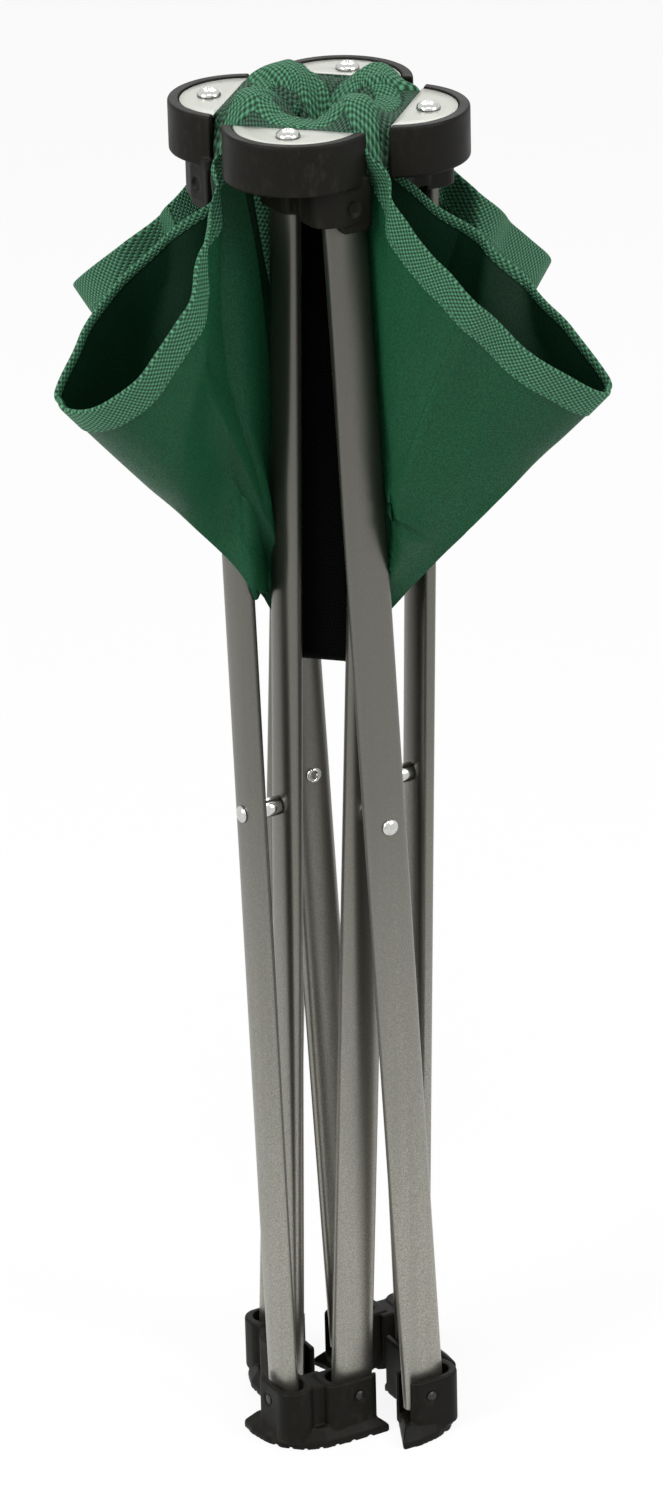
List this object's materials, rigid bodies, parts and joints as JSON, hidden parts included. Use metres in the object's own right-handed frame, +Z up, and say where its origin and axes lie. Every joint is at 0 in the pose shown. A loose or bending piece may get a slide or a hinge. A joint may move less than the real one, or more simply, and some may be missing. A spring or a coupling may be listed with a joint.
{
  "type": "folding camping stool",
  "caption": "Folding stool with four crossed pairs of tube legs, plastic corner hubs and feet, and a cloth seat that folds down into lobes.",
  "frame": {"origin": "middle of the folded stool on the floor", "axes": "+Z up along the folded stool, its four sides facing +X, +Y, -X and -Y"},
  "size_m": [0.1765, 0.2074, 0.5231],
  "materials": {
    "tube": "dark satin powder coat",
    "plastic": "moulded, finely textured",
    "plate": "brushed",
    "bright": "bright plated",
    "cloth": "coated fine weave with a coarse woven edge tape",
    "webbing": "woven strap"
  },
  "bodies": {
    "foot_0": {"foot_0": "plastic"},
    "foot_1": {"foot_1": "plastic"},
    "foot_2": {"foot_2": "plastic"},
    "foot_3": {"foot_3": "plastic"},
    "inner_0": {"tube_inner_0": "tube"},
    "outer_0": {"tube_outer_0": "tube", "rivet_0": "bright"},
    "hub_0": {"hub_0": "plastic", "clamp_plate_0": "plate", "plate_screw_0": "bright", "hub_pin_outer_0": "bright", "hub_pin_inner_0": "bright"},
    "gore_0": {"seat_gore_0": "cloth", "seat_strap_0": "webbing"},
    "inner_1": {"tube_inner_1": "tube"},
    "outer_1": {"tube_outer_1": "tube", "rivet_1": "bright"},
    "hub_1": {"hub_1": "plastic", "clamp_plate_1": "plate", "plate_screw_1": "bright", "hub_pin_outer_1": "bright", "hub_pin_inner_1": "bright"},
    "gore_1": {"seat_gore_1": "cloth", "seat_strap_1": "webbing"},
    "inner_2": {"tube_inner_2": "tube"},
    "outer_2": {"tube_outer_2": "tube", "rivet_2": "bright"},
    "hub_2": {"hub_2": "plastic", "clamp_plate_2": "plate", "plate_screw_2": "bright", "hub_pin_outer_2": "bright", "hub_pin_inner_2": "bright"},
    "gore_2": {"seat_gore_2": "cloth", "seat_strap_2": "webbing"},
    "inner_3": {"tube_inner_3": "tube"},
    "outer_3": {"tube_outer_3": "tube", "rivet_3": "bright"},
    "hub_3": {"hub_3": "plastic", "clamp_plate_3": "plate", "plate_screw_3": "bright", "hub_pin_outer_3": "bright", "hub_pin_inner_3": "bright"},
    "gore_3": {"seat_gore_3": "cloth", "seat_strap_3": "webbing"},
    "wall_inner_a_0": {"seat_inner_a_0": "cloth"},
    "wall_inner_b_0": {"seat_inner_b_0": "cloth"},
    "wall_outer_a_0": {"seat_outer_a_0": "cloth"},
    "wall_outer_b_0": {"seat_outer_b_0": "cloth"},
    "wall_inner_a_1": {"seat_inner_a_1": "cloth"},
    "wall_inner_b_1": {"seat_inner_b_1": "cloth"},
    "wall_outer_a_1": {"seat_outer_a_1": "cloth"},
    "wall_outer_b_1": {"seat_outer_b_1": "cloth"},
    "wall_inner_a_2": {"seat_inner_a_2": "cloth"},
    "wall_inner_b_2": {"seat_inner_b_2": "cloth"},
    "wall_outer_a_2": {"seat_outer_a_2": "cloth"},
    "wall_outer_b_2": {"seat_outer_b_2": "cloth"},
    "wall_inner_a_3": {"seat_inner_a_3": "cloth"},
    "wall_inner_b_3": {"seat_inner_b_3": "cloth"},
    "wall_outer_a_3": {"seat_outer_a_3": "cloth"},
    "wall_outer_b_3": {"seat_outer_b_3": "cloth"}
  },
  "joints": [
    {"name": "fold", "type": "hinge", "parent": "foot_0", "child": "inner_0", "pos_m": [0.0204, -0.0113, 0.0175], "axis": [-1, 0, 0], "range_deg": [0, 32.82]},
    {"name": "outer_3_turn", "type": "hinge", "parent": "foot_0", "child": "outer_3", "pos_m": [0.0113, -0.0355, 0.0175], "axis": [0, -1, 0], "range_deg": [0, 32.82]},
    {"name": "outer_0_turn", "type": "hinge", "parent": "inner_0", "child": "outer_0", "pos_m": [0.02795, 0, 0.25623], "axis": [1, 0, 0], "range_deg": [0, 65.64]},
    {"name": "inner_3_turn", "type": "hinge", "parent": "outer_3", "child": "inner_3", "pos_m": [0, -0.02795, 0.25623], "axis": [0, 1, 0], "range_deg": [0, 65.64]},
    {"name": "hub_0_turn", "type": "hinge", "parent": "outer_0", "child": "hub_0", "pos_m": [0.0355, -0.0113, 0.49496], "axis": [-1, 0, 0], "range_deg": [0, 32.82]},
    {"name": "hub_1_turn", "type": "hinge", "parent": "inner_0", "child": "hub_1", "pos_m": [0.0204, 0.0113, 0.49496], "axis": [1, 0, 0], "range_deg": [0, 32.82]},
    {"name": "foot_1_turn", "type": "hinge", "parent": "outer_0", "child": "foot_1", "pos_m": [0.0355, 0.0113, 0.0175], "axis": [-1, 0, 0], "range_deg": [0, 32.82]},
    {"name": "hub_3_turn", "type": "hinge", "parent": "outer_3", "child": "hub_3", "pos_m": [-0.0113, -0.0355, 0.49496], "axis": [0, 1, 0], "range_deg": [0, 32.82]},
    {"name": "foot_3_turn", "type": "hinge", "parent": "inner_3", "child": "foot_3", "pos_m": [-0.0113, -0.0204, 0.0175], "axis": [0, -1, 0], "range_deg": [0, 32.82]},
    {"name": "outer_1_turn", "type": "hinge", "parent": "hub_1", "child": "outer_1", "pos_m": [0.0113, 0.0355, 0.49496], "axis": [0, 1, 0], "range_deg": [0, 32.82]},
    {"name": "inner_1_turn", "type": "hinge", "parent": "outer_1", "child": "inner_1", "pos_m": [0, 0.02795, 0.25623], "axis": [0, -1, 0], "range_deg": [0, 65.64]},
    {"name": "foot_2_turn", "type": "hinge", "parent": "outer_1", "child": "foot_2", "pos_m": [-0.0113, 0.0355, 0.0175], "axis": [0, -1, 0], "range_deg": [0, 32.82]},
    {"name": "hub_2_turn", "type": "hinge", "parent": "inner_1", "child": "hub_2", "pos_m": [-0.0113, 0.0204, 0.49496], "axis": [0, 1, 0], "range_deg": [0, 32.82]},
    {"name": "outer_2_turn", "type": "hinge", "parent": "hub_2", "child": "outer_2", "pos_m": [-0.0355, 0.0113, 0.49496], "axis": [-1, 0, 0], "range_deg": [0, 32.82]},
    {"name": "inner_2_turn", "type": "hinge", "parent": "outer_2", "child": "inner_2", "pos_m": [-0.02795, 0, 0.25623], "axis": [1, 0, 0], "range_deg": [0, 65.64]},
    {"name": "gore_0_turn", "type": "hinge", "parent": "hub_0", "child": "gore_0", "pos_m": [0.02263, -0.02263, 0.51851], "axis": [0.7071, 0.7071, 0], "range_deg": [0, 81.33], "deforming": ["seat_gore_0", "seat_strap_0"]},
    {"name": "gore_1_turn", "type": "hinge", "parent": "hub_1", "child": "gore_1", "pos_m": [0.02263, 0.02263, 0.51851], "axis": [-0.7071, 0.7071, 0], "range_deg": [0, 81.33], "deforming": ["seat_gore_1", "seat_strap_1"]},
    {"name": "gore_2_turn", "type": "hinge", "parent": "hub_2", "child": "gore_2", "pos_m": [-0.02263, 0.02263, 0.51851], "axis": [-0.7071, -0.7071, 0], "range_deg": [0, 81.33], "deforming": ["seat_gore_2", "seat_strap_2"]},
    {"name": "gore_3_turn", "type": "hinge", "parent": "hub_3", "child": "gore_3", "pos_m": [-0.02263, -0.02263, 0.51851], "axis": [0.7071, -0.7071, 0], "range_deg": [0, 81.33], "deforming": ["seat_gore_3", "seat_strap_3"]},
    {"name": "wall_inner_a_0_turn", "type": "hinge", "parent": "gore_0", "child": "wall_inner_a_0", "pos_m": [0, 0, 0.30849], "axis": [0.2245, -0.0235, 0.9742], "range_deg": [0, 41.39], "deforming": ["seat_inner_a_0"]},
    {"name": "wall_outer_a_0_turn", "type": "hinge", "parent": "wall_inner_a_0", "child": "wall_outer_a_0", "pos_m": [0, 0, 0.30849], "axis": [-0.4612, -0.0218, -0.8871], "range_deg": [0, 66.22], "deforming": ["seat_outer_a_0"]},
    {"name": "wall_inner_b_0_turn", "type": "hinge", "parent": "gore_1", "child": "wall_inner_b_0", "pos_m": [0, 0, 0.30849], "axis": [-0.1335, 0.0311, -0.9906], "range_deg": [0, 101.16], "deforming": ["seat_inner_b_0"]},
    {"name": "wall_outer_b_0_turn", "type": "hinge", "parent": "wall_inner_b_0", "child": "wall_outer_b_0", "pos_m": [0, 0, 0.30849], "axis": [0.2057, 0.2138, 0.955], "range_deg": [0, 27.71], "deforming": ["seat_outer_b_0"]},
    {"name": "wall_inner_a_1_turn", "type": "hinge", "parent": "gore_1", "child": "wall_inner_a_1", "pos_m": [0, 0, 0.30849], "axis": [-0.0718, 0.1515, 0.9858], "range_deg": [0, 62.85], "deforming": ["seat_inner_a_1"]},
    {"name": "wall_outer_a_1_turn", "type": "hinge", "parent": "wall_inner_a_1", "child": "wall_outer_a_1", "pos_m": [0, 0, 0.30849], "axis": [-0.0858, -0.3458, -0.9344], "range_deg": [0, 50.47], "deforming": ["seat_outer_a_1"]},
    {"name": "wall_inner_b_1_turn", "type": "hinge", "parent": "gore_2", "child": "wall_inner_b_1", "pos_m": [0, 0, 0.30849], "axis": [-0.0381, -0.1411, -0.9893], "range_deg": [0, 89.02], "deforming": ["seat_inner_b_1"]},
    {"name": "wall_outer_b_1_turn", "type": "hinge", "parent": "wall_inner_b_1", "child": "wall_outer_b_1", "pos_m": [0, 0, 0.30849], "axis": [-0.2008, 0.279, 0.9391], "range_deg": [0, 50.47], "deforming": ["seat_outer_b_1"]},
    {"name": "wall_inner_a_2_turn", "type": "hinge", "parent": "gore_2", "child": "wall_inner_a_2", "pos_m": [0, 0, 0.30849], "axis": [-0.1635, -0.1116, 0.9802], "range_deg": [0, 45.82], "deforming": ["seat_inner_a_2"]},
    {"name": "wall_outer_a_2_turn", "type": "hinge", "parent": "wall_inner_a_2", "child": "wall_outer_a_2", "pos_m": [0, 0, 0.30849], "axis": [0.3586, 0.0006, -0.9335], "range_deg": [0, 52.8], "deforming": ["seat_outer_a_2"]},
    {"name": "wall_inner_b_2_turn", "type": "hinge", "parent": "gore_3", "child": "wall_inner_b_2", "pos_m": [0, 0, 0.30849], "axis": [0.136, -0.0216, -0.9905], "range_deg": [0, 108.92], "deforming": ["seat_inner_b_2"]},
    {"name": "wall_outer_b_2_turn", "type": "hinge", "parent": "wall_inner_b_2", "child": "wall_outer_b_2", "pos_m": [0, 0, 0.30849], "axis": [-0.1979, -0.2614, 0.9447], "range_deg": [0, 52.8], "deforming": ["seat_outer_b_2"]},
    {"name": "wall_inner_a_3_turn", "type": "hinge", "parent": "gore_3", "child": "wall_inner_a_3", "pos_m": [0, 0, 0.30849], "axis": [0.118, -0.138, 0.9834], "range_deg": [0, 56.04], "deforming": ["seat_inner_a_3"]},
    {"name": "wall_outer_a_3_turn", "type": "hinge", "parent": "wall_inner_a_3", "child": "wall_outer_a_3", "pos_m": [0, 0, 0.30849], "axis": [0.0685, 0.4208, -0.9045], "range_deg": [0, 23.1], "deforming": ["seat_outer_a_3"]},
    {"name": "wall_inner_b_3_turn", "type": "hinge", "parent": "gore_0", "child": "wall_inner_b_3", "pos_m": [0, 0, 0.30849], "axis": [-0.0104, 0.1895, -0.9818], "range_deg": [0, 85.97], "deforming": ["seat_inner_b_3"]},
    {"name": "wall_outer_b_3_turn", "type": "hinge", "parent": "wall_inner_b_3", "child": "wall_outer_b_3", "pos_m": [0, 0, 0.30849], "axis": [0.2113, -0.4013, 0.8913], "range_deg": [0, 74.86], "deforming": ["seat_outer_b_3"]}
  ],
  "couplings": [
    {"joint": "outer_3_turn", "follows": "fold", "ratio": 1},
    {"joint": "outer_0_turn", "follows": "fold", "ratio": 2},
    {"joint": "inner_3_turn", "follows": "fold", "ratio": 2},
    {"joint": "hub_0_turn", "follows": "fold", "ratio": 1},
    {"joint": "hub_1_turn", "follows": "fold", "ratio": 1},
    {"joint": "foot_1_turn", "follows": "fold", "ratio": 1},
    {"joint": "hub_3_turn", "follows": "fold", "ratio": 1},
    {"joint": "foot_3_turn", "follows": "fold", "ratio": 1},
    {"joint": "outer_1_turn", "follows": "fold", "ratio": 1},
    {"joint": "inner_1_turn", "follows": "fold", "ratio": 2},
    {"joint": "foot_2_turn", "follows": "fold", "ratio": 1},
    {"joint": "hub_2_turn", "follows": "fold", "ratio": 1},
    {"joint": "outer_2_turn", "follows": "fold", "ratio": 1},
    {"joint": "inner_2_turn", "follows": "fold", "ratio": 2},
    {"joint": "gore_0_turn", "follows": "fold", "ratio": 2.4781},
    {"joint": "gore_1_turn", "follows": "fold", "ratio": 2.4781},
    {"joint": "gore_2_turn", "follows": "fold", "ratio": 2.4781},
    {"joint": "gore_3_turn", "follows": "fold", "ratio": 2.4781},
    {"joint": "wall_inner_a_0_turn", "follows": "fold", "ratio": 1.2613},
    {"joint": "wall_outer_a_0_turn", "follows": "fold", "ratio": 2.0177},
    {"joint": "wall_inner_b_0_turn", "follows": "fold", "ratio": 3.0822},
    {"joint": "wall_outer_b_0_turn", "follows": "fold", "ratio": 0.84442},
    {"joint": "wall_inner_a_1_turn", "follows": "fold", "ratio": 1.9151},
    {"joint": "wall_outer_a_1_turn", "follows": "fold", "ratio": 1.5379},
    {"joint": "wall_inner_b_1_turn", "follows": "fold", "ratio": 2.7123},
    {"joint": "wall_outer_b_1_turn", "follows": "fold", "ratio": 1.5379},
    {"joint": "wall_inner_a_2_turn", "follows": "fold", "ratio": 1.3962},
    {"joint": "wall_outer_a_2_turn", "follows": "fold", "ratio": 1.6086},
    {"joint": "wall_inner_b_2_turn", "follows": "fold", "ratio": 3.3186},
    {"joint": "wall_outer_b_2_turn", "follows": "fold", "ratio": 1.6086},
    {"joint": "wall_inner_a_3_turn", "follows": "fold", "ratio": 1.7076},
    {"joint": "wall_outer_a_3_turn", "follows": "fold", "ratio": 0.70374},
    {"joint": "wall_inner_b_3_turn", "follows": "fold", "ratio": 2.6195},
    {"joint": "wall_outer_b_3_turn", "follows": "fold", "ratio": 2.281}
  ]
}
